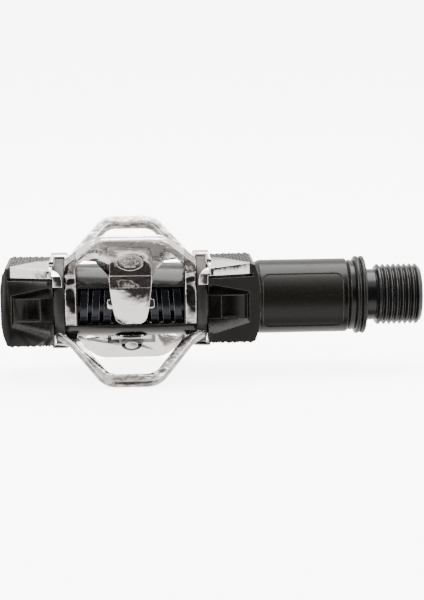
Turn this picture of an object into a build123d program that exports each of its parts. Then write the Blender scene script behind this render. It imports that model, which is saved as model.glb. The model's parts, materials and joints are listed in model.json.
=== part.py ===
from build123d import *
from math import asin, cos, degrees, radians, sin, sqrt
import os

os.makedirs("parts", exist_ok=True)

# All sizes are in millimetres. While modelling, x = 0 is the middle of the wing mechanism,
# +X runs along the spindle to the crank thread, +Z is up and the front faces -Y.
# Angles around the spindle are counted from the front, upward.
origin_shift = -19.1

# spindle
journal_r = 6.0
shaft_r = 4.0
bearing_seat_r = 3.0
tail_r = 2.5
tail_end = -27.8
crank_face = 57.6
spindle_end = 68.1
thread_r = 7.14
thread_pitch = 1.27
thread_depth = 0.7
socket_flats = 8.0
socket_depth = 9.0
running_gap = 0.05

# core of the mechanism
core_inner_r = 4.35
core_outer_r = 5.5
barrel_inner_r = 7.75
barrel_r = 8.45
barrel_half = 17.8
core_tube_start = -19.5
window_half = 12.3
window_low = -36.0
window_high = 28.0

# body blocks and sleeve
block_face = 17.8
block_end = 29.9
block_half_depth = 11.0
block_end_depth = 8.3
block_half_height = 9.3
block_inner_height = 8.8
plate_seat = 6.9
sleeve_r = 8.65
sleeve_end = 50.9
sleeve_bore_r = 6.9
knurl_pitch = 1.45
knurl_bar = 0.5

# wings
wing_tip_r = 23.7
arm_in = 12.6
arm_out = 15.0
arm_inner_r = 8.5
arm_outer_r = 10.0
shell_thickness = 0.85
bolt_r_out = 15.5
eye_in = 15.3
eye_out = 17.5
eye_r = 10.2
eye_flat = 9.3
loop_thickness = 2.6

# springs
wire_width = 1.7
wire_height = 1.5
coil_r = 6.62
coil_pitch = 2.72


def around(angle):
    """Unit direction from the spindle axis at an angle counted from the front, upward."""
    return Vector(0, -cos(radians(angle)), sin(radians(angle)))


def wing_plane(angle, lift=0.0):
    """Plane through the spindle axis: local x along the spindle, local y outward at the angle."""
    normal = around(angle - 90)
    return Plane(origin=tuple(normal * lift), x_dir=(1, 0, 0), z_dir=tuple(normal))


def level(height, turn):
    """Horizontal plane at a height above the axis, or its half-turn image below the axis."""
    return Plane(origin=(0, 0, turn * height), x_dir=(1, 0, 0), z_dir=(0, 0, turn))


def facing(depth, turn):
    """Upright plane in front of the axis, or its half-turn image behind the axis."""
    return Plane(origin=(0, -turn * depth, 0), x_dir=(1, 0, 0), z_dir=(0, -turn, 0))


def across(x, turn=1):
    """Plane square to the spindle: local x points to the front, or to the rear for the half-turn image."""
    return Plane(origin=(x, 0, 0), x_dir=(0, -turn, 0), z_dir=(-1, 0, 0))


parts = {}

# --- spindle: stepped shaft, crank thread and hex socket ---
thread_count = 7
thread_start = crank_face + 0.75
thread_points = []
for turn_index in range(thread_count):
    groove = thread_start + turn_index * thread_pitch
    thread_points.append((groove, thread_r))
    thread_points.append((groove + 0.52, thread_r - thread_depth))
    thread_points.append((groove + 0.62, thread_r - thread_depth))
    thread_points.append((groove + 1.14, thread_r))
with BuildPart() as spindle:
    with BuildSketch(Plane.XY):
        with BuildLine():
            Polyline(
                (tail_end, 0),
                (tail_end, tail_r - 0.4),
                (tail_end + 0.4, tail_r),
                (-24.7, tail_r),
                (-24.7, bearing_seat_r),
                (-19.6, bearing_seat_r),
                (-19.6, shaft_r),
                (29.8, shaft_r),
                (33.0, journal_r),
                (crank_face - 0.3, journal_r),
                (crank_face, journal_r - 0.3),
                (crank_face, thread_r - 0.4),
                (crank_face + 0.4, thread_r),
                *thread_points,
                (spindle_end - 0.9, thread_r),
                (spindle_end, thread_r - 0.9),
                (spindle_end, 0),
                close=True,
            )
        make_face()
    revolve(axis=Axis.X)
    with BuildSketch(Plane.YZ.offset(spindle_end)):
        RegularPolygon(radius=socket_flats / 2, side_count=6, major_radius=False)
    extrude(amount=-socket_depth, mode=Mode.SUBTRACT)
parts["spindle"] = spindle.part

# --- lock nut on the spindle's tail ---
with BuildPart() as lock_nut:
    with BuildSketch(Plane.YZ.offset(-27.6)):
        RegularPolygon(radius=4.0, side_count=6, major_radius=False)
        Circle(tail_r, mode=Mode.SUBTRACT)
    extrude(amount=2.9)
parts["lock_nut"] = lock_nut.part

# --- outboard ball bearing ---
bearing_mid = -22.2
ball_circle = 4.75
with BuildPart() as bearing_inner_ring:
    with BuildSketch(Plane.YZ.offset(bearing_mid - 2.5)):
        Circle(4.2)
        Circle(bearing_seat_r, mode=Mode.SUBTRACT)
    extrude(amount=5.0)
    with Locations(Location((bearing_mid, 0, 0), (0, 90, 0))):
        Torus(ball_circle, 1.02, mode=Mode.SUBTRACT)
parts["bearing_inner_ring"] = bearing_inner_ring.part

with BuildPart() as bearing_outer_ring:
    with BuildSketch(Plane.YZ.offset(bearing_mid - 2.5)):
        Circle(6.5)
        Circle(5.3, mode=Mode.SUBTRACT)
    extrude(amount=5.0)
    with Locations(Location((bearing_mid, 0, 0), (0, 90, 0))):
        Torus(ball_circle, 1.02, mode=Mode.SUBTRACT)
parts["bearing_outer_ring"] = bearing_outer_ring.part

with BuildPart() as bearing_balls:
    with Locations(Location((bearing_mid, 0, 0), (0, 90, 0))):
        with PolarLocations(ball_circle, 9):
            Sphere(1.0)
parts["bearing_balls"] = bearing_balls.part

# --- polymer bush on the inboard journal ---
with BuildPart() as sleeve_bush:
    with BuildSketch(Plane.YZ.offset(36.0)):
        Circle(sleeve_bore_r)
        Circle(journal_r + running_gap, mode=Mode.SUBTRACT)
    extrude(amount=14.6)
parts["sleeve_bush"] = sleeve_bush.part

# --- core tube between the two blocks, with a hole for each locating peg ---
peg_angle = -30.4
peg_r = 0.8
peg_length = 3.4
with BuildPart() as core_tube:
    with BuildSketch(Plane.YZ.offset(core_tube_start)):
        Circle(core_outer_r)
        Circle(core_inner_r, mode=Mode.SUBTRACT)
    extrude(amount=24.0 - core_tube_start)
    for turn in (0, 180):
        with BuildSketch(Plane(origin=(0, 0, 0), z_dir=tuple(around(peg_angle + turn)))):
            Circle(peg_r)
        extrude(amount=6.0, mode=Mode.SUBTRACT)
parts["core_tube"] = core_tube.part

with BuildPart() as locating_pegs:
    for turn in (0, 180):
        way = around(peg_angle + turn)
        with BuildSketch(Plane(origin=tuple(way * core_inner_r), z_dir=tuple(way))):
            Circle(peg_r)
        extrude(amount=peg_length)
        with Locations(tuple(way * (core_inner_r + peg_length))):
            Sphere(peg_r)
parts["locating_pegs"] = locating_pegs.part

# --- spring barrel: two windows, and a slot for the tooth of each wing eye ---
tooth_angles = {-1: -45.0, 1: 135.0}


def sector(low, high, reach):
    """Corner points of a wedge from the axis between two angles, for a plane square to the spindle."""
    points = [(0, 0)]
    for angle in (low, (low + high) / 2, high):
        points.append((reach * cos(radians(angle)), reach * sin(radians(angle))))
    return points


with BuildPart() as spring_barrel:
    with BuildSketch(Plane.YZ.offset(-barrel_half)):
        Circle(barrel_r)
        Circle(barrel_inner_r, mode=Mode.SUBTRACT)
    extrude(amount=2 * barrel_half)
    for turn in (1, -1):
        with BuildSketch(across(window_half, turn)):
            with BuildLine():
                Polyline(*sector(window_low, window_high, 14.0), close=True)
            make_face()
        extrude(amount=2 * window_half, mode=Mode.SUBTRACT)
    for side in (-1, 1):
        slot_middle = tooth_angles[side]
        slot_start = side * 16.4 + 0.95
        with BuildSketch(across(slot_start)):
            with BuildLine():
                Polyline(*sector(slot_middle - 27, slot_middle + 27, 14.0), close=True)
            make_face()
        extrude(amount=1.9, mode=Mode.SUBTRACT)
parts["spring_barrel"] = spring_barrel.part

# --- body blocks ---
plate_outline = [(17.85, -10.7), (19.0, -11.0), (27.5, -8.8), (27.3, -7.7), (19.4, 6.8), (17.85, 6.8)]


def mirrored_x(points, side):
    return [(side * x, y) for x, y in points]


def block(side):
    """One body block: outer shape, knurl, V-shaped pockets and the seats for the wear plates."""
    with BuildPart() as shape:
        with BuildSketch(Plane.YZ.offset(side * block_face)):
            Rectangle(2 * block_half_depth, 2 * block_half_height)
        extrude(amount=side * (block_end - block_face))
        with BuildSketch(Plane.XY.offset(-12)):
            with BuildLine():
                Polyline(
                    (side * 17.0, -10.6),
                    (side * block_face, -10.6),
                    (side * 19.0, -block_half_depth),
                    (side * block_end, -block_end_depth),
                    (side * block_end, block_end_depth),
                    (side * 19.0, block_half_depth),
                    (side * block_face, 10.6),
                    (side * 17.0, 10.6),
                    close=True,
                )
            make_face()
        extrude(amount=24, mode=Mode.INTERSECT)
        with BuildSketch(Plane.XZ):
            with BuildLine():
                Polyline(
                    (side * 17.0, block_inner_height),
                    (side * block_face, block_inner_height),
                    (side * 27.8, block_half_height),
                    (side * 28.7, block_half_height - 0.4),
                    (side * 29.5, 6.6),
                    (side * block_end, 4.0),
                    (side * block_end, -4.0),
                    (side * 29.5, -6.6),
                    (side * 28.7, 0.4 - block_half_height),
                    (side * 27.8, -block_half_height),
                    (side * block_face, -block_inner_height),
                    (side * 17.0, -block_inner_height),
                    close=True,
                )
            make_face()
        extrude(amount=12, both=True, mode=Mode.INTERSECT)
        rise = degrees(asin((block_half_height - block_inner_height) / 10.0))
        for turn in (1, -1):
            for slant in (60, -60):
                with Locations(
                    *[
                        Location(
                            (
                                side * (11.5 + step * knurl_pitch),
                                0,
                                turn * (block_inner_height + (11.5 + step * knurl_pitch - block_face) * 0.05),
                            ),
                            (0, -turn * side * rise, slant),
                        )
                        for step in range(17)
                    ]
                ):
                    Box(30, knurl_bar, knurl_bar, rotation=(45, 0, 0), mode=Mode.SUBTRACT)
            with BuildSketch(facing(11.4, turn)):
                with BuildLine():
                    Polyline(
                        (side * 12.0, 5.2), (side * 28.7, 5.2), (side * 28.7, -7.0), (side * 12.0, -7.0), close=True
                    )
                make_face()
            with BuildSketch(facing(8.0, turn)):
                with BuildLine():
                    Polyline(
                        (side * 12.0, 1.9), (side * 26.9, 1.9), (side * 26.9, -3.6), (side * 12.0, -3.6), close=True
                    )
                make_face()
            loft(mode=Mode.SUBTRACT)
            with BuildSketch(level(-3.3, turn)):
                with Locations((side * 22.4, -15.0)):
                    Circle(8.0)
                with Locations((side * 24.0, -10.0)):
                    Rectangle(6.2, 8.0, mode=Mode.INTERSECT)
            extrude(amount=5.0, mode=Mode.SUBTRACT)
            with BuildSketch(level(plate_seat - 0.65, turn)):
                with BuildLine():
                    Polyline(
                        (side * 17, -9.9),
                        (side * 19, -9.9),
                        (side * 28.2, -7.5),
                        (side * 28.2, -12),
                        (side * 17, -12),
                        close=True,
                    )
                make_face()
            extrude(amount=0.66, mode=Mode.SUBTRACT)
            with BuildSketch(level(plate_seat, turn)):
                with BuildLine():
                    Polyline(*mirrored_x(plate_outline, side), close=True)
                make_face()
                with BuildLine():
                    Polyline(
                        (side * 17, -12), (side * 27.5, -12), (side * 27.5, -8.8), (side * 19, -10.9), (side * 17, -10.6),
                        close=True,
                    )
                make_face()
                with BuildLine():
                    Polyline((side * 17, -10.8), (side * 17.9, -10.8), (side * 17.9, 6.8), (side * 17, 6.8), close=True)
                make_face()
            extrude(amount=4, mode=Mode.SUBTRACT)
            with BuildSketch(level(5.5, turn)):
                with Locations((side * 20.6, -8.3), (side * 25.0, -7.1)):
                    Circle(0.9)
            extrude(amount=2, mode=Mode.SUBTRACT)
    return shape.part


with BuildPart() as body_outboard:
    add(block(-1))
    with BuildSketch(Plane.YZ.offset(-31)):
        Circle(6.5)
    extrude(amount=31 - 19.7, mode=Mode.SUBTRACT)
    with BuildSketch(Plane.YZ.offset(-20)):
        Circle(core_outer_r)
    extrude(amount=3, mode=Mode.SUBTRACT)
parts["body_outboard"] = body_outboard.part

with BuildPart() as sleeve_panels:
    for turn in (1, -1):
        with BuildSketch(facing(4, turn)):
            with Locations((39.9, 0)):
                RectangleRounded(18.6, 12.4, 1.6)
        extrude(amount=6)
    with BuildSketch(Plane.YZ.offset(28)):
        Circle(sleeve_r - 0.14)
    extrude(amount=24, mode=Mode.SUBTRACT)

with BuildPart() as body_inboard:
    add(block(1))
    with BuildSketch(Plane.XY):
        with BuildLine():
            Polyline(
                (27.5, 0),
                (27.5, 8.2),
                (29.0, 8.2),
                (30.2, sleeve_r),
                (sleeve_end - 0.5, sleeve_r),
                (sleeve_end, sleeve_r - 0.5),
                (sleeve_end, 0),
                close=True,
            )
        make_face()
    revolve(axis=Axis.X)
    with BuildSketch(Plane.XY):
        with BuildLine():
            Polyline(
                (17, 0),
                (17, core_outer_r),
                (24.0, core_outer_r),
                (24.0, 4.4),
                (28.6, 4.4),
                (28.6, sleeve_bore_r),
                (52, sleeve_bore_r),
                (52, 0),
                close=True,
            )
        make_face()
    revolve(axis=Axis.X, mode=Mode.SUBTRACT)
    add(sleeve_panels.part, mode=Mode.SUBTRACT)
parts["body_inboard"] = body_inboard.part

# --- end cap with its O-ring ---
with BuildPart() as end_cap:
    with BuildSketch(Plane.YZ.offset(-block_end)):
        Circle(6.5)
    extrude(amount=1.8)
    with BuildSketch(Plane.YZ.offset(-block_end)):
        RegularPolygon(radius=3.0, side_count=6, major_radius=False)
    extrude(amount=1.1, mode=Mode.SUBTRACT)
    with Locations(Location((-28.9, 0, 0), (0, 90, 0))):
        Torus(6.1, 0.42, mode=Mode.SUBTRACT)
parts["end_cap"] = end_cap.part

with BuildPart() as end_cap_o_ring:
    with Locations(Location((-28.9, 0, 0), (0, 90, 0))):
        Torus(6.1, 0.4)
parts["end_cap_o_ring"] = end_cap_o_ring.part

# --- seals at the sleeve's mouth ---
with BuildPart() as inner_seal_ring:
    with BuildSketch(Plane.XY):
        with BuildLine():
            Polyline(
                (50.6, journal_r + running_gap),
                (50.6, sleeve_bore_r - 0.05),
                (51.0, sleeve_bore_r - 0.05),
                (51.0, 8.1),
                (51.3, 8.3),
                (52.5, 8.1),
                (52.5, journal_r + running_gap),
                close=True,
            )
        make_face()
    revolve(axis=Axis.X)
parts["inner_seal_ring"] = inner_seal_ring.part

with BuildPart() as lip_seal:
    with BuildSketch(Plane.XY):
        with BuildLine():
            Polyline((52.5, journal_r + running_gap), (52.5, 8.6))
            ThreePointArc((52.5, 8.6), (53.05, 9.17), (53.6, 8.6))
            ThreePointArc((53.6, 8.6), (53.7, 8.5), (53.8, 8.6))
            ThreePointArc((53.8, 8.6), (54.35, 9.17), (54.9, 8.6))
            Polyline(
                (54.9, 8.6),
                (54.9, 7.4),
                (55.2, 6.6),
                (55.2, journal_r + running_gap),
                (52.5, journal_r + running_gap),
            )
        make_face()
    revolve(axis=Axis.X)
parts["lip_seal"] = lip_seal.part


# --- wear plates ---
def wear_plate(side, turn):
    """Polished plate: sloping top, raised tab over the wing eye, rolled lip and two pegs."""
    with BuildPart() as plate:
        with BuildSketch(level(plate_seat, turn)):
            with BuildLine():
                Polyline(*mirrored_x(plate_outline, side), close=True)
            make_face()
            offset(amount=-0.05, kind=Kind.INTERSECTION, mode=Mode.REPLACE)
        extrude(amount=2.6)
        with BuildSketch(facing(0, turn)):
            with BuildLine():
                Polyline((side * 17, 8.6), (side * 28, 9.45), (side * 28, 10), (side * 17, 10), close=True)
            make_face()
        extrude(amount=12, both=True, mode=Mode.SUBTRACT)
        with BuildSketch(facing(11.2, turn)):
            with BuildLine():
                Polyline(
                    (side * 15.6, 4.9),
                    (side * 15.6, 8.6),
                    (side * 18.3, 8.6),
                    (side * 18.3, plate_seat),
                    (side * 17.7, plate_seat),
                    (side * 17.7, 4.9),
                    close=True,
                )
            make_face()
            rolled = [v for v in vertices() if abs(abs(v.X) - 15.6) < 0.01 and v.Y > 8]
            fillet(rolled, radius=2.6)
        extrude(amount=-2.6)
        with BuildSketch(across(side * 15, turn)):
            with BuildLine():
                Polyline((8.0, 4.0), (10.2, 4.0), (10.2, 6.2), (9.3, 7.1), (8.0, 7.1), close=True)
            make_face()
        extrude(amount=-side * 2.85, mode=Mode.SUBTRACT)
        with BuildSketch(across(side * 15, turn)):
            with BuildLine():
                Polyline((11.3, 9.0), (11.3, 7.3), (9.9, 8.7), (9.9, 9.0), close=True)
            make_face()
        extrude(amount=-side * 3.0, mode=Mode.SUBTRACT)
        with BuildSketch(facing(2.2, turn)):
            with BuildLine():
                Polyline(
                    (side * 14.6, 10.45),
                    (side * 14.6, 10.6),
                    (side * 15.0, 10.85),
                    (side * 18.4, 10.85),
                    (side * 19.1, 8.8),
                    (side * 19.1, 8.0),
                    (side * 17.9, 8.0),
                    (side * 17.9, 10.45),
                    close=True,
                )
            make_face()
        extrude(amount=-5.4)
        with BuildSketch(across(side * 14, turn)):
            with BuildLine():
                Polyline((2.4, 9.2), (2.4, 11.2), (0.6, 11.2), close=True)
            make_face()
        extrude(amount=-side * 5.5, mode=Mode.SUBTRACT)
        with BuildSketch(level(5.6, turn)):
            with Locations((side * 20.6, -8.3), (side * 25.0, -7.1)):
                Circle(0.88)
        extrude(amount=2)
    return plate.part


for side, block_name in ((-1, "outboard"), (1, "inboard")):
    for turn, face_name in ((1, "top"), (-1, "bottom")):
        parts[f"wear_plate_{face_name}_{block_name}"] = wear_plate(side, turn)

# --- inner wings: two stamped shells each ---
inside_outline = [(4.6, 9.4), (5.7, 11.8), (7.6, 14.9), (11.0, 15.5), (arm_in, 12.4), (arm_in, 11.8)]
front_outline = [(4.6, 9.4), (5.7, 11.8), (8.2, 16.6), (10.3, 17.0), (arm_in, 13.9), (arm_in, 11.8)]


def arm_profile(thickness):
    """Sheet section from the flat plate into a ring over the barrel: local x outward, local y forward."""
    outside, inside = 2.5, 3.5
    outer_reach = sqrt((arm_outer_r + outside) ** 2 - (thickness + outside) ** 2)
    inner_reach = sqrt((arm_inner_r + inside) ** 2 - inside**2)
    return outer_reach, inner_reach, outside, inside


def point_on(radius, angle):
    return (radius * cos(radians(angle)), radius * sin(radians(angle)))


tongue_mask = [
    (-20, 26), (-20, -12), (-8, -12), (-8, 5.6), (-4.9, 5.6), (-4.75, 4.0), (-4.1, -1.0), (-3.3, -4.45),
    (3.3, -4.45), (4.1, -1.0), (4.75, 4.0), (4.9, 5.6), (8, 5.6), (8, -12), (20, -12), (20, 26),
]


def shell(angle, forward, window):
    """One stamped shell of an inner wing. forward is +1 or -1: the side of the wing plane it lies on."""
    tip = [(0, wing_tip_r), (7.7, wing_tip_r), (arm_out, 14.6), (arm_out, 11.8)]
    half = tip + [(x, r) for x, r in reversed(window)]
    outline = half + [(-x, r) for x, r in reversed(half[1:])]
    outer_reach, inner_reach, outside, inside = arm_profile(shell_thickness)
    outer_turn = degrees(asin((shell_thickness + outside) / (arm_outer_r + outside)))
    inner_turn = degrees(asin(inside / (arm_inner_r + inside)))
    end_turn = 71.4
    with BuildPart() as stamped:
        with BuildSketch(wing_plane(angle)):
            with BuildLine():
                Polyline(*outline, close=True)
            make_face()
            fillet([v for v in vertices() if v.Y > 23], radius=4.5)
            fillet([v for v in vertices() if abs(v.Y - 14.6) < 0.01], radius=1.6)
        extrude(amount=forward * shell_thickness)
        for side in (-1, 1):
            start = around(angle)
            section = Plane(
                origin=(side * (arm_in + arm_out) / 2, 0, 0),
                x_dir=tuple(start),
                z_dir=(forward, 0, 0),
            )
            with BuildSketch(section):
                with BuildLine():
                    Line((inner_reach, 0), (13.0, 0))
                    Line((13.0, 0), (13.0, shell_thickness))
                    Line((13.0, shell_thickness), (outer_reach, shell_thickness))
                    outer_start = point_on(arm_outer_r, outer_turn)
                    RadiusArc((outer_reach, shell_thickness), outer_start, outside)
                    outer_end = point_on(arm_outer_r, end_turn)
                    RadiusArc(outer_start, outer_end, -arm_outer_r)
                    Line(outer_end, point_on(arm_inner_r, end_turn))
                    inner_end = point_on(arm_inner_r, inner_turn)
                    RadiusArc(point_on(arm_inner_r, end_turn), inner_end, arm_inner_r)
                    RadiusArc(inner_end, (inner_reach, 0), -inside)
                make_face()
            extrude(amount=(arm_out - arm_in) / 2, both=True)
        # the tongue steps out over the barrel, then runs along and back towards it
        turn = 1 if angle > 0 else -1
        section = [
            (7.3, 7.3),
            (7.9, 6.7),
            (10.4, 4.35),
            (10.5, 3.9),
            (8.55, -4.4),
            (7.77, -4.3),
            (9.57, 3.75),
            (6.95, 6.2),
            (6.7, 6.7),
        ]
        if forward < 0:
            section = [(out, up) for up, out in section]
        with BuildSketch(across(4.9, turn)):
            with BuildLine():
                Polyline(*section, close=True)
            make_face()
        extrude(amount=9.8)
        mask = facing(6, turn) if forward > 0 else level(6, turn)
        with BuildSketch(mask):
            with BuildLine():
                Polyline(*[(x, forward * z) for x, z in tongue_mask], close=True)
            make_face()
            tip = [v for v in vertices() if abs(forward * v.Y + 4.45) < 0.01]
            fillet(tip, radius=2.3)
        extrude(amount=26, both=True, mode=Mode.INTERSECT)
        with BuildSketch(wing_plane(angle, 0)):
            with Locations((0, bolt_r_out)):
                Circle(1.5)
        extrude(amount=5, both=True, mode=Mode.SUBTRACT)
        with BuildSketch(wing_plane(angle, shell_thickness)):
            with Locations((0, bolt_r_out)):
                Circle(3.05)
        with BuildSketch(wing_plane(angle, shell_thickness - 1.5)):
            with Locations((0, bolt_r_out)):
                Circle(1.55)
        loft(mode=Mode.SUBTRACT)
    return stamped.part


parts["upper_wing_front_shell"] = shell(45, 1, front_outline)
parts["upper_wing_top_shell"] = shell(45, -1, inside_outline)
parts["lower_wing_rear_shell"] = shell(-135, 1, front_outline)
parts["lower_wing_bottom_shell"] = shell(-135, -1, inside_outline)

# --- wing bolts and nuts ---
with BuildPart() as wing_bolts:
    for angle in (45, -135):
        with BuildSketch(wing_plane(angle, shell_thickness)):
            with Locations((0, bolt_r_out)):
                Circle(3.0)
        with BuildSketch(wing_plane(angle, shell_thickness - 1.5)):
            with Locations((0, bolt_r_out)):
                Circle(1.5)
        loft()
        with BuildSketch(wing_plane(angle, shell_thickness - 1.5)):
            with Locations((0, bolt_r_out)):
                Circle(1.5)
        extrude(amount=-2.2)
        with BuildSketch(wing_plane(angle, shell_thickness)):
            with Locations((0, bolt_r_out)):
                Circle(1.45)
                with PolarLocations(1.5, 6):
                    Circle(0.42)
        extrude(amount=-1.1, mode=Mode.SUBTRACT)
parts["wing_bolts"] = wing_bolts.part

with BuildPart() as wing_nuts:
    for angle in (45, -135):
        with BuildSketch(wing_plane(angle, -shell_thickness)):
            with Locations((0, bolt_r_out)):
                Circle(3.0)
                Circle(1.5, mode=Mode.SUBTRACT)
        extrude(amount=-0.6)
        with BuildSketch(wing_plane(angle, -shell_thickness - 0.6)):
            with Locations((0, bolt_r_out)):
                Circle(2.5)
                Circle(1.5, mode=Mode.SUBTRACT)
        extrude(amount=-1.3)
        with BuildSketch(wing_plane(angle, -shell_thickness - 1.9)):
            with Locations((0, bolt_r_out)):
                Rectangle(5.4, 1.0)
                Circle(1.5, mode=Mode.SUBTRACT)
        extrude(amount=0.8, mode=Mode.SUBTRACT)
parts["wing_nuts"] = wing_nuts.part

# --- spring anchors: a foot on the core tube and a wide head behind each tongue ---
with BuildPart() as spring_anchors:
    for turn in (1, -1):
        with BuildSketch(facing(4.9, turn)):
            with Locations((0, 0.3)):
                Rectangle(2.6, 1.9)
        extrude(amount=3.0)
        with BuildSketch(facing(7.7, turn)):
            with Locations((0, 0.3)):
                RectangleRounded(10.9, 2.2, 0.6)
        extrude(amount=0.8)
    with BuildSketch(Plane.YZ.offset(-7)):
        Circle(core_outer_r)
    extrude(amount=14, mode=Mode.SUBTRACT)
parts["spring_anchors"] = spring_anchors.part

# --- outer wing: one flat loop with an eye round each end of the barrel ---
loop_outer = [(0, 23.7), (6.2, 23.7), (14.1, 12.6), (eye_out, 9.8), (eye_out, 8.0)]
loop_inner = [(eye_in, 8.0), (eye_in, 10.35), (12.3, 11.6), (5.1, 21.7), (0, 21.7)]
with BuildPart() as outer_wing:
    for angle in (135, -45):
        with BuildSketch(wing_plane(angle)):
            half = loop_outer + loop_inner
            with BuildLine():
                Polyline(*half, *[(-x, r) for x, r in reversed(half[1:-1])], close=True)
            make_face()
            fillet([v for v in vertices() if v.Y > 23], radius=5.5)
            fillet([v for v in vertices() if abs(v.Y - 21.7) < 0.01 and abs(v.X) < 5.2], radius=3.6)
        extrude(amount=loop_thickness / 2, both=True)
    for side in (-1, 1):
        with BuildSketch(Plane.YZ.offset(side * (eye_in + eye_out) / 2)):
            Circle(eye_r)
            Rectangle(2 * eye_flat, 30, mode=Mode.INTERSECT)
        extrude(amount=(eye_out - eye_in) / 2, both=True)
        with BuildSketch(Plane.YZ.offset(side * (eye_in + eye_out) / 2)):
            Circle(barrel_r + running_gap)
        extrude(amount=(eye_out - eye_in) / 2, both=True, mode=Mode.SUBTRACT)
        tooth = around(tooth_angles[side])
        with BuildSketch(Plane(origin=tuple(tooth * 6.7 + Vector(side * 16.4, 0, 0)), x_dir=(1, 0, 0), z_dir=tuple(tooth))):
            Rectangle(1.5, 2.0)
        extrude(amount=2.2)
parts["outer_wing"] = outer_wing.part


# --- torsion springs ---
def spring(side):
    """Flat-wire coil from beside the anchor to the barrel's end, with a radial leg and an axial tang."""
    first = 2.6
    turns = 3.4
    with BuildPart() as coil:
        with BuildLine() as path:
            Helix(coil_pitch, turns * coil_pitch, coil_r, lefthand=side < 0)
        with BuildSketch(Plane(origin=path.line @ 0, x_dir=(0, 0, 1), z_dir=path.line % 0)):
            Rectangle(wire_width, wire_height)
        sweep(is_frenet=True)
    return Location(Plane(origin=(side * first, 0, 0), x_dir=(0, -1, 0), z_dir=(side, 0, 0))) * coil.part


for side, block_name in ((-1, "outboard"), (1, "inboard")):
    parts[f"spring_{block_name}"] = spring(side)

for name, solid in parts.items():
    placed = solid.moved(Location((origin_shift, 0, 0)))
    placed.label = name
    export_step(placed, f"parts/{name}.step")
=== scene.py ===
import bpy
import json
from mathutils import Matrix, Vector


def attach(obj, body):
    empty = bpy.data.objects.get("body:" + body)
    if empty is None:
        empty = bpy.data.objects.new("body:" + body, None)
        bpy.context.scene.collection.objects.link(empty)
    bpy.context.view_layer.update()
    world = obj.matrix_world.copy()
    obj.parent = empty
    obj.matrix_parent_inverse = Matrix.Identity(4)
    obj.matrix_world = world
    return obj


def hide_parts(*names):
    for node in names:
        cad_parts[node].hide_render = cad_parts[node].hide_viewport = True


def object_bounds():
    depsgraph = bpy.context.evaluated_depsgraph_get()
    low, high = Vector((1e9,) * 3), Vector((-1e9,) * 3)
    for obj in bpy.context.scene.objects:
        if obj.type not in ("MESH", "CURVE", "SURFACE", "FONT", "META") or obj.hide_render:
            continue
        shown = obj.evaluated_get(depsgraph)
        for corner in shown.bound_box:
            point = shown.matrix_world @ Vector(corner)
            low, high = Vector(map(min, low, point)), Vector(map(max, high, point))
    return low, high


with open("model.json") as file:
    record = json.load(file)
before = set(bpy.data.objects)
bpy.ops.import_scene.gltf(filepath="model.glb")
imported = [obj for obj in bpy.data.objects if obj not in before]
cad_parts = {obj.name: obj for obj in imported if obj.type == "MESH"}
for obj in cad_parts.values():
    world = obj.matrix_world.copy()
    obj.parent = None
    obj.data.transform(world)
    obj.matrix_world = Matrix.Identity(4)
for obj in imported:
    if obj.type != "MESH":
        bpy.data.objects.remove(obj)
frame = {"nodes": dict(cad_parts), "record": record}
cad_box = [list(map(float, corner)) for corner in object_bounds()]

import json
import math
import bmesh
import bpy
from mathutils import Matrix, Vector

# Measures in metres, in the frame of the CAD. MIDDLE is the x of the wing mechanism's middle.
MIDDLE = -0.0191
EYE_RADIUS = 0.01026
EYE_INNER_FACE = 0.0150
ARM_INNER_FACE = 0.0122
PATCH_HALF_WIDTH = 0.0058
PATCH_LOWEST = -0.0128
PANEL_START = 0.0306
PANEL_END = 0.0492
PANEL_HALF_HEIGHT = 0.0062

CAMERA_DISTANCE = 0.4
CAMERA_ELEVATION = math.radians(10.0)
CAMERA_ROLL = math.radians(-0.66)
CAMERA_AIM = Vector((0.0, 0.0, -0.00065))
CAMERA_LENS = 102


# ---------- node helpers ----------
def material(name):
    mat = bpy.data.materials.new(name)
    mat.use_nodes = True
    tree = mat.node_tree
    return mat, tree, tree.nodes["Principled BSDF"]


def link(tree, a, b):
    tree.links.new(a, b)


def noise(tree, scale, detail=4.0, rough=0.5, stretch=(1, 1, 1)):
    coord = tree.nodes.new("ShaderNodeTexCoord")
    mapping = tree.nodes.new("ShaderNodeMapping")
    mapping.inputs["Scale"].default_value = stretch
    link(tree, coord.outputs["Object"], mapping.inputs["Vector"])
    tex = tree.nodes.new("ShaderNodeTexNoise")
    tex.inputs["Scale"].default_value = scale
    tex.inputs["Detail"].default_value = detail
    tex.inputs["Roughness"].default_value = rough
    link(tree, mapping.outputs["Vector"], tex.inputs["Vector"])
    return tex.outputs["Fac"]


def ramp(tree, source, low, high, a, b):
    node = tree.nodes.new("ShaderNodeValToRGB")
    node.color_ramp.elements[0].position = low
    node.color_ramp.elements[1].position = high
    node.color_ramp.elements[0].color = a
    node.color_ramp.elements[1].color = b
    link(tree, source, node.inputs["Fac"])
    return node.outputs["Color"]


def grey(value, warm=0.0):
    return (value * (1 + warm), value, value * (1 - warm), 1)


def bump(tree, shader, height, strength, distance, under=None):
    node = tree.nodes.new("ShaderNodeBump")
    node.inputs["Strength"].default_value = strength
    node.inputs["Distance"].default_value = distance
    link(tree, height, node.inputs["Height"])
    if under:
        link(tree, under, node.inputs["Normal"])
    link(tree, node.outputs["Normal"], shader.inputs["Normal"])
    return node.outputs["Normal"]


def mix(tree, fac, a, b):
    node = tree.nodes.new("ShaderNodeMix")
    node.data_type = "RGBA"
    link(tree, fac, node.inputs["Factor"])
    for value, place in ((a, 6), (b, 7)):
        if isinstance(value, tuple):
            node.inputs[place].default_value = value
        else:
            link(tree, value, node.inputs[place])
    return node.outputs[2]


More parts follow.
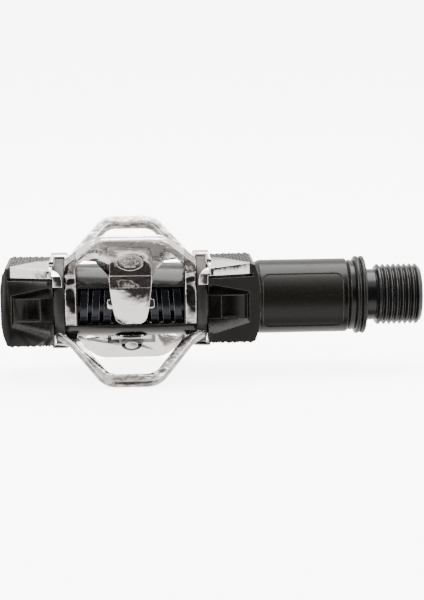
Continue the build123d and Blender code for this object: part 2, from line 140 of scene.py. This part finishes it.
def maths(tree, kind, a, b=None):
    node = tree.nodes.new("ShaderNodeMath")
    node.operation = kind
    for place, value in enumerate((a, b)):
        if value is None:
            continue
        if isinstance(value, (int, float)):
            node.inputs[place].default_value = value
        else:
            link(tree, value, node.inputs[place])
    return node.outputs["Value"]


def edges(tree, width):
    """How far a rounded normal leans off the true one, 1 on sharp edges and 0 on flats, and that normal."""
    bevel = tree.nodes.new("ShaderNodeBevel")
    bevel.samples = 6
    bevel.inputs["Radius"].default_value = width
    geometry = tree.nodes.new("ShaderNodeNewGeometry")
    dot = tree.nodes.new("ShaderNodeVectorMath")
    dot.operation = "DOT_PRODUCT"
    link(tree, bevel.outputs["Normal"], dot.inputs[0])
    link(tree, geometry.outputs["True Normal"], dot.inputs[1])
    lean = tree.nodes.new("ShaderNodeMapRange")
    lean.inputs["From Min"].default_value = 0.995
    lean.inputs["From Max"].default_value = 0.85
    link(tree, dot.outputs["Value"], lean.inputs["Value"])
    return lean.outputs["Result"], bevel.outputs["Normal"]


def radius_and_x(tree):
    """Distance from the spindle's axis, and distance along it from the middle of the mechanism."""
    coord = tree.nodes.new("ShaderNodeTexCoord")
    split = tree.nodes.new("ShaderNodeSeparateXYZ")
    link(tree, coord.outputs["Object"], split.inputs[0])
    y_squared = maths(tree, "POWER", split.outputs["Y"], 2.0)
    z_squared = maths(tree, "POWER", split.outputs["Z"], 2.0)
    radius = maths(tree, "SQRT", maths(tree, "ADD", y_squared, z_squared))
    along = maths(tree, "ABSOLUTE", maths(tree, "SUBTRACT", split.outputs["X"], MIDDLE))
    return radius, along, split


def metal(
    name, colours, roughness, grain=0.5, grain_depth=0.00002, fine=3000, metallic=1.0,
    edge_highlight=0.0, edge_highlight_colour=None, round_by=0.0002, wave=0.0, wave_scale=180, specular=0.5,
):
    """Metal or paint: cloudy colour, wandering roughness, fine grain, soft waves, rounded edge normals and a
    painted highlight in the edges' colour.
    """
    mat, tree, shader = material(name)
    shader.inputs["Metallic"].default_value = metallic
    shader.inputs["Specular IOR Level"].default_value = specular
    colour = ramp(tree, noise(tree, 160, 5, 0.6), 0.35, 0.68, *colours)
    lean, rounded = edges(tree, round_by)
    # Painted highlight: the edges' colour is lightened, in patches, to stand in for light caught on them.
    if edge_highlight:
        patchy_highlight = ramp(tree, noise(tree, 900, 5, 0.7), 0.30, 0.62, grey(edge_highlight * 0.35), grey(edge_highlight))
        colour = mix(tree, maths(tree, "MULTIPLY", lean, patchy_highlight), colour, edge_highlight_colour)
    link(tree, colour, shader.inputs["Base Color"])
    low_rough, high_rough = roughness
    rough = ramp(tree, noise(tree, 420, 6, 0.65), 0.3, 0.72, grey(low_rough), grey(high_rough))
    link(tree, rough, shader.inputs["Roughness"])
    under = rounded
    if wave:
        under = bump(tree, shader, noise(tree, wave_scale, 2, 0.5), 1.0, wave, under)
    bump(tree, shader, noise(tree, fine, 3, 0.6), grain, grain_depth, under)
    return mat


# The edge amount and edge colour given below are painted highlights on the edges.
MATS = {
    "chrome": metal(
        "chrome_plate", ((0.80, 0.75, 0.74, 1), (0.93, 0.89, 0.87, 1)), (0.07, 0.17),
        grain=0.35, grain_depth=0.00003, fine=1400, edge_highlight=0.55, edge_highlight_colour=(0.98, 0.95, 0.93, 1),
        wave=0.00016, wave_scale=300,
    ),
    "black_anodised": metal(
        "black_anodised", (grey(0.0022, 0.2), grey(0.006, 0.2)), (0.20, 0.32),
        grain_depth=0.000012, fine=6000, metallic=0.0, edge_highlight=0.7, edge_highlight_colour=grey(0.16, 0.05),
        round_by=0.0003, specular=0.24,
    ),
    "barrel_black": metal(
        "barrel_gloss", (grey(0.003, 0.15), grey(0.007, 0.15)), (0.14, 0.24),
        grain=0.3, grain_depth=0.00001, fine=4000, metallic=0.0, edge_highlight=0.4, edge_highlight_colour=grey(0.14),
        specular=0.34,
    ),
    "spring_steel": metal(
        "spring_wire", ((0.010, 0.013, 0.018, 1), (0.022, 0.026, 0.034, 1)), (0.16, 0.28),
        metallic=0.5, edge_highlight=1.0, edge_highlight_colour=grey(0.62), round_by=0.00016, specular=0.6,
    ),
    "spindle_steel": metal(
        "spindle_black", (grey(0.005), grey(0.014, 0.03)), (0.18, 0.30),
        fine=3500, metallic=0.3, edge_highlight=0.45, edge_highlight_colour=grey(0.30),
    ),
    "bearing_steel": metal(
        "bearing_steel", (grey(0.5), grey(0.62)), (0.15, 0.25), grain=0.3, grain_depth=0.00001,
    ),
    "seal_rubber": metal(
        "seal_rubber", (grey(0.003), grey(0.007)), (0.24, 0.36), fine=4500, metallic=0.0, specular=0.3,
    ),
    "bush_polymer": metal(
        "bush_polymer", (grey(0.18, 0.05), grey(0.24, 0.05)), (0.45, 0.6),
        grain_depth=0.00003, fine=3500, metallic=0.0,
    ),
    "bolt_steel": metal(
        "bolt_steel", (grey(0.62, 0.03), grey(0.80, 0.03)), (0.2, 0.34),
        grain=0.4, fine=2500, edge_highlight=0.5, edge_highlight_colour=grey(0.75),
    ),
}
NUT_DARK = metal(
    "nut_dark", (grey(0.06), grey(0.12)), (0.2, 0.32), grain=0.4, fine=2500, edge_highlight=0.5, edge_highlight_colour=grey(0.4),
)


def painted_reflection_streaks(tree, before, low, high, dark, base=0.0, where=None):
    """Painted dark reflections: broken dark streaks in the plating's flats, kept off its bright edges."""
    lean = edges(tree, 0.00045)[0]
    flat = maths(tree, "SUBTRACT", 1.0, lean)
    # Painted reflection: dark streaks stand in for dark surroundings mirrored in the chrome.
    dark_reflection = ramp(tree, noise(tree, 330, 7, 0.72, (1.0, 1.0, 2.2)), low, high, grey(base), grey(0.94))
    amount = maths(tree, "MULTIPLY", flat, dark_reflection)
    if where:
        amount = maths(tree, "MULTIPLY", amount, where)
    return mix(tree, amount, before, grey(dark, 0.03))


def wing_material():
    """Chrome with painted dark reflection streaks, and the eyes over the barrel's ends dark, satin and less
    metallic.
    """
    mat = MATS["chrome"].copy()
    mat.name = "chrome_with_black_eyes"
    tree = mat.node_tree
    shader = tree.nodes["Principled BSDF"]
    radius, along, split = radius_and_x(tree)
    near_axis = maths(tree, "LESS_THAN", radius, EYE_RADIUS)
    eye = maths(tree, "MULTIPLY", near_axis, maths(tree, "GREATER_THAN", along, EYE_INNER_FACE))
    # Painted reflection: dark streaks in the chrome's colour.
    colour = painted_reflection_streaks(tree, shader.inputs["Base Color"].links[0].from_socket, 0.36, 0.56, 0.04, base=0.35)
    link(tree, mix(tree, eye, colour, grey(0.030, 0.05)), shader.inputs["Base Color"])
    rough = shader.inputs["Roughness"].links[0].from_socket
    link(tree, mix(tree, eye, rough, grey(0.42)), shader.inputs["Roughness"])
    less_metal = maths(tree, "SUBTRACT", 1.0, maths(tree, "MULTIPLY", eye, 0.6))
    link(tree, less_metal, shader.inputs["Metallic"])
    return mat


def shell_material(lower):
    """Chrome with painted dark reflection streaks, mostly on the arms. A lower shell has a painted dark
    reflection below, round its bolt.
    """
    mat = MATS["chrome"].copy()
    mat.name = "chrome_lower_shell" if lower else "chrome_upper_shell"
    tree = mat.node_tree
    socket = tree.nodes["Principled BSDF"].inputs["Base Color"]
    radius, along, split = radius_and_x(tree)
    arms = maths(tree, "GREATER_THAN", along, ARM_INNER_FACE)
    # Painted reflection: light dark streaks all over, darker ones on the arms.
    colour = painted_reflection_streaks(tree, socket.links[0].from_socket, 0.58, 0.70, 0.40)
    colour = painted_reflection_streaks(tree, colour, 0.36, 0.60, 0.05, base=0.25, where=arms)
    if lower:
        # Painted reflection: the underside round the bolt is darkened to stand in for the barrel's dark
        # underside mirrored there.
        geometry = tree.nodes.new("ShaderNodeNewGeometry")
        normal = tree.nodes.new("ShaderNodeSeparateXYZ")
        link(tree, geometry.outputs["Normal"], normal.inputs[0])
        underside = maths(tree, "LESS_THAN", normal.outputs["Z"], -0.2)
        reflection_patch = maths(tree, "MULTIPLY", underside, maths(tree, "LESS_THAN", along, PATCH_HALF_WIDTH))
        reflection_patch = maths(tree, "MULTIPLY", reflection_patch, maths(tree, "GREATER_THAN", split.outputs["Z"], PATCH_LOWEST))
        painted_dark_reflection = ramp(tree, noise(tree, 300, 4, 0.6), 0.35, 0.7, grey(0.05), grey(0.16))
        colour = mix(tree, reflection_patch, colour, painted_dark_reflection)
    link(tree, colour, socket)
    return mat


def sleeve_material():
    """Black paint with glossy bands and a matte, speckled inset panel at the front and rear."""
    mat = MATS["black_anodised"].copy()
    mat.name = "sleeve_black"
    tree = mat.node_tree
    shader = tree.nodes["Principled BSDF"]
    coord = tree.nodes.new("ShaderNodeTexCoord")
    split = tree.nodes.new("ShaderNodeSeparateXYZ")
    link(tree, coord.outputs["Object"], split.inputs[0])
    past_start = maths(tree, "GREATER_THAN", split.outputs["X"], PANEL_START + MIDDLE)
    before_end = maths(tree, "LESS_THAN", split.outputs["X"], PANEL_END + MIDDLE)
    in_x = maths(tree, "MULTIPLY", past_start, before_end)
    in_z = maths(tree, "LESS_THAN", maths(tree, "ABSOLUTE", split.outputs["Z"]), PANEL_HALF_HEIGHT)
    panel = maths(tree, "MULTIPLY", in_x, in_z)
    speckle = ramp(tree, noise(tree, 5200, 2, 0.5), 0.60, 0.75, grey(0.006, 0.2), grey(0.035, 0.1))
    before = shader.inputs["Base Color"].links[0].from_socket
    link(tree, mix(tree, panel, before, speckle), shader.inputs["Base Color"])
    before = shader.inputs["Roughness"].links[0].from_socket
    link(tree, mix(tree, panel, before, grey(0.34)), shader.inputs["Roughness"])
    return mat


slots = {item["node"]: item["material_slot"] for item in frame["record"]["subparts"]}
# nodes whose material differs from their slot's usual one
SPECIAL = {"outer_wing": wing_material(), "body_inboard": sleeve_material(), "wing_nuts": NUT_DARK}
for node in ("upper_wing_front_shell", "upper_wing_top_shell"):
    SPECIAL[node] = shell_material(False)
for node in ("lower_wing_rear_shell", "lower_wing_bottom_shell"):
    SPECIAL[node] = shell_material(True)
for node, obj in frame["nodes"].items():
    obj.data.materials.clear()
    obj.data.materials.append(SPECIAL.get(node, MATS[slots[node]]))


# ---------- pieces with softened edges, in place of the sharp CAD nodes ----------
BODY = {}
for body, members in frame["record"]["behaviour"]["bodies"].items():
    for node in members:
        BODY[node] = body


def softened(node, width):
    """A copy of the node's surface with its edges rounded, riding on the same body."""
    source = frame["nodes"][node]
    form = bmesh.new()
    form.from_mesh(source.data)
    bmesh.ops.remove_doubles(form, verts=form.verts, dist=1e-6)
    bmesh.ops.dissolve_limit(form, angle_limit=math.radians(0.6), verts=form.verts, edges=form.edges)
    mesh = bpy.data.meshes.new(node + "_soft")
    form.to_mesh(mesh)
    form.free()
    mesh.materials.clear()
    mesh.materials.append(SPECIAL.get(node, MATS[slots[node]]))
    for face in mesh.polygons:
        face.use_smooth = True
    obj = bpy.data.objects.new(node + "_soft", mesh)
    bpy.context.collection.objects.link(obj)
    bevel = obj.modifiers.new("round", "BEVEL")
    bevel.width = width
    bevel.segments = 2
    bevel.limit_method = "ANGLE"
    bevel.angle_limit = math.radians(28.0)
    bevel.harden_normals = True
    bevel.use_clamp_overlap = True
    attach(obj, BODY[node])
    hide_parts(node)
    return obj


# node: how far its edges are rounded
SHELL_EDGE = 0.00018
PLATE_EDGE = 0.00022
SOFT = {
    "outer_wing": 0.0006,
    "upper_wing_front_shell": SHELL_EDGE,
    "upper_wing_top_shell": SHELL_EDGE,
    "lower_wing_rear_shell": SHELL_EDGE,
    "lower_wing_bottom_shell": SHELL_EDGE,
    "wear_plate_top_outboard": PLATE_EDGE,
    "wear_plate_top_inboard": PLATE_EDGE,
    "wear_plate_bottom_outboard": PLATE_EDGE,
    "wear_plate_bottom_inboard": PLATE_EDGE,
    "spring_anchors": 0.0002,
    "wing_bolts": 0.0001,
    "wing_nuts": 0.0001,
    "body_outboard": 0.00012,
    "spring_barrel": 0.00015,
}
for node, width in SOFT.items():
    softened(node, width)

# ---------- floor, which curves up behind the object ----------
floor_level = cad_box[0][2]
floor_mesh = bpy.data.meshes.new("floor")
form = bmesh.new()
rows = []
reach = 3.0
for y, z in [(-reach, 0), (0.6, 0), (0.9, 0.02), (1.15, 0.10), (1.35, 0.25), (1.45, 0.5), (1.5, 2.0)]:
    rows.append([form.verts.new((x, y, z + floor_level)) for x in (-reach, reach)])
for a, b in zip(rows, rows[1:]):
    form.faces.new((a[0], a[1], b[1], b[0]))
form.to_mesh(floor_mesh)
form.free()
floor = bpy.data.objects.new("floor", floor_mesh)
bpy.context.collection.objects.link(floor)
for face in floor_mesh.polygons:
    face.use_smooth = True
floor_mat, floor_tree, floor_shader = material("floor_white")
floor_shader.inputs["Base Color"].default_value = (0.95, 0.95, 0.95, 1)
floor_shader.inputs["Roughness"].default_value = 1.0
floor_shader.inputs["Specular IOR Level"].default_value = 0.0
floor_shader.inputs["Emission Color"].default_value = (1, 1, 1, 1)
floor_shader.inputs["Emission Strength"].default_value = 6.0
floor_mesh.materials.append(floor_mat)
floor.visible_glossy = False
floor.visible_diffuse = False

# ---------- surroundings: bright, dark behind the camera and straight below ----------
world = bpy.data.worlds.new("studio")
bpy.context.scene.world = world
world.use_nodes = True
tree = world.node_tree
back = tree.nodes["Background"]
coord = tree.nodes.new("ShaderNodeTexCoord")
dot = tree.nodes.new("ShaderNodeVectorMath")
dot.operation = "DOT_PRODUCT"
dot.inputs[1].default_value = Vector((0.0, -1.0, 0.20)).normalized()
link(tree, coord.outputs["Generated"], dot.inputs[0])
fade = ramp(tree, dot.outputs["Value"], 0.75, 0.87, grey(1.0, 0.02), grey(0.02))
under = tree.nodes.new("ShaderNodeVectorMath")
under.operation = "DOT_PRODUCT"
under.inputs[1].default_value = Vector((0.0, -0.12, -1.0)).normalized()
link(tree, coord.outputs["Generated"], under.inputs[0])
gap = ramp(tree, under.outputs["Value"], 0.93, 0.975, grey(1.0), grey(0.16))
both = tree.nodes.new("ShaderNodeVectorMath")
both.operation = "MULTIPLY"
link(tree, fade, both.inputs[0])
link(tree, gap, both.inputs[1])
link(tree, both.outputs["Vector"], back.inputs["Color"])
back.inputs["Strength"].default_value = 2.0


# ---------- lights ----------
def area(name, place, size, power):
    """Square light that faces the object."""
    data = bpy.data.lights.new(name, "AREA")
    data.shape = "RECTANGLE"
    data.size = size
    data.size_y = size
    data.energy = power
    obj = bpy.data.objects.new(name, data)
    bpy.context.collection.objects.link(obj)
    obj.location = place
    obj.rotation_euler = (-Vector(place)).to_track_quat("-Z", "Y").to_euler()


area("top_box", (0.05, 0.15, 0.8), 0.7, 13)
area("left_box", (-0.7, -0.15, 0.35), 0.4, 3.0)
area("right_box", (0.75, -0.1, 0.4), 0.4, 3.0)

# ---------- camera, in front of the middle of the mechanism and a little above it ----------
cam_data = bpy.data.cameras.new("camera")
cam = bpy.data.objects.new("camera", cam_data)
bpy.context.collection.objects.link(cam)
back_off = math.cos(CAMERA_ELEVATION) * CAMERA_DISTANCE
rise = math.sin(CAMERA_ELEVATION) * CAMERA_DISTANCE
cam.location = Vector((MIDDLE, -back_off, rise + CAMERA_AIM.z))
look = (CAMERA_AIM - cam.location).to_track_quat("-Z", "Y")
roll = Matrix.Rotation(CAMERA_ROLL, 4, "Z")
cam.matrix_world = Matrix.Translation(cam.location) @ look.to_matrix().to_4x4() @ roll
cam_data.lens = CAMERA_LENS
cam_data.sensor_width = 36
cam_data.sensor_fit = "AUTO"
bpy.context.scene.camera = cam
